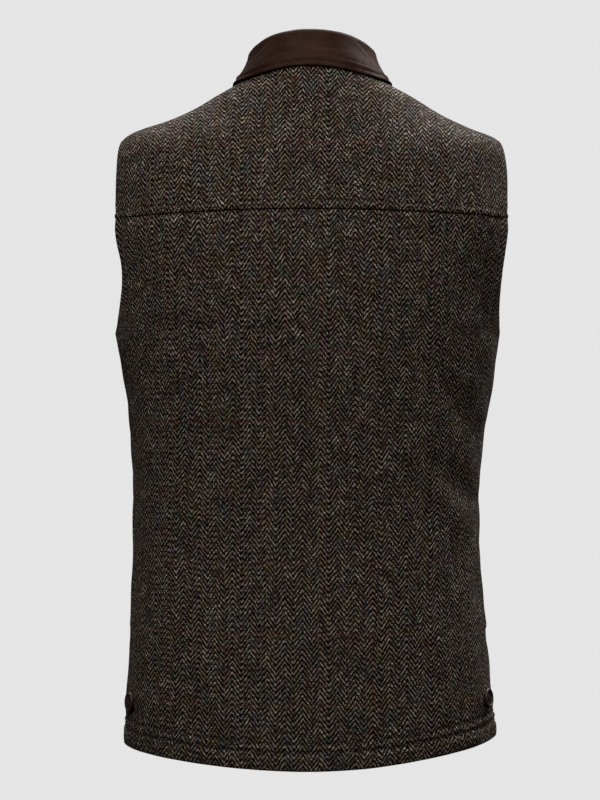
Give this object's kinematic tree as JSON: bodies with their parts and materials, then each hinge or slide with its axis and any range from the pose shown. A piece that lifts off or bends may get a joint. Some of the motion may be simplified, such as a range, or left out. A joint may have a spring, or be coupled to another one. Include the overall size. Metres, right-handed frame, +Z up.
{
  "type": "tweed gilet",
  "caption": "Sleeveless tweed gilet with a turned-down leather collar, a seamed back yoke, a buttoned front and buttoned side vents, filled out as worn.",
  "frame": {"origin": "midway between the wearer's shoulders, at the height where the garment rests on them", "axes": "+Z up, +Y towards the back, +X towards the wearer's left"},
  "size_m": [0.4025, 0.2671, 0.7445],
  "materials": {
    "tweed": "napped herringbone wool",
    "collar_leather": "soft waxed leather",
    "button_horn": "satin horn effect"
  },
  "bodies": {
    "root": {"back": "tweed", "back_yoke": "tweed", "front_left": "tweed", "front_right": "tweed", "vent_underlap_left": "tweed", "vent_underlap_right": "tweed", "collar": "collar_leather", "front_button_1": "button_horn", "front_button_2": "button_horn", "front_button_3": "button_horn", "front_button_4": "button_horn", "front_button_5": "button_horn", "front_button_6": "button_horn", "vent_button_left": "button_horn", "vent_button_right": "button_horn"}
  },
  "joints": []
}
